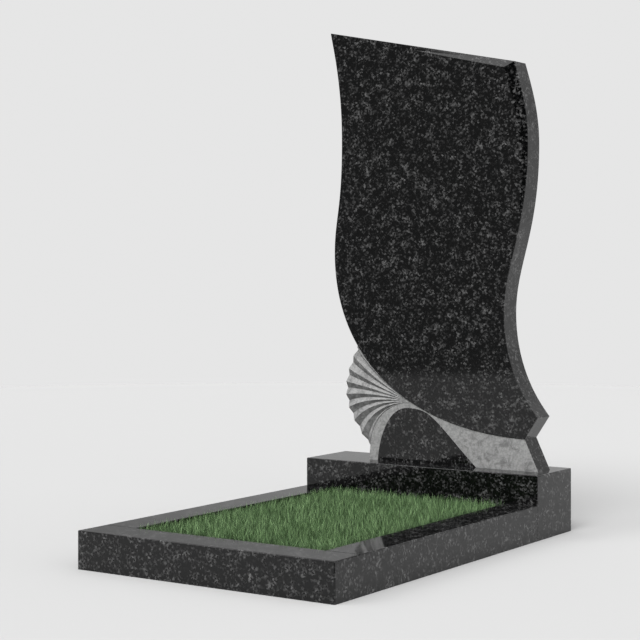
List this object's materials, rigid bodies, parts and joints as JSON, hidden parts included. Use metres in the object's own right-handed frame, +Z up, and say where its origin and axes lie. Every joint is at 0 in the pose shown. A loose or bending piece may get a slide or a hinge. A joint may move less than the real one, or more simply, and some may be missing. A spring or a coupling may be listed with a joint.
{
  "type": "headstone",
  "caption": "Polished dark granite headstone with flowing sides, a carved shell fan and an arched boss, on a plinth with a kerbed bed of grass in front.",
  "frame": {"origin": "centre of the whole footprint of kerb and plinth, on the ground", "axes": "+Z up, -Y towards the front of the kerb (the face looks along -Y), +X to the right as seen from the front"},
  "size_m": [0.6, 0.958, 1.14],
  "materials": {
    "polished_granite": "polished",
    "turf": "matte"
  },
  "bodies": {
    "root": {"headstone": "polished_granite", "plinth": "polished_granite", "kerb_front": "polished_granite", "kerb_left": "polished_granite", "kerb_right": "polished_granite", "turf": "turf"}
  },
  "joints": []
}
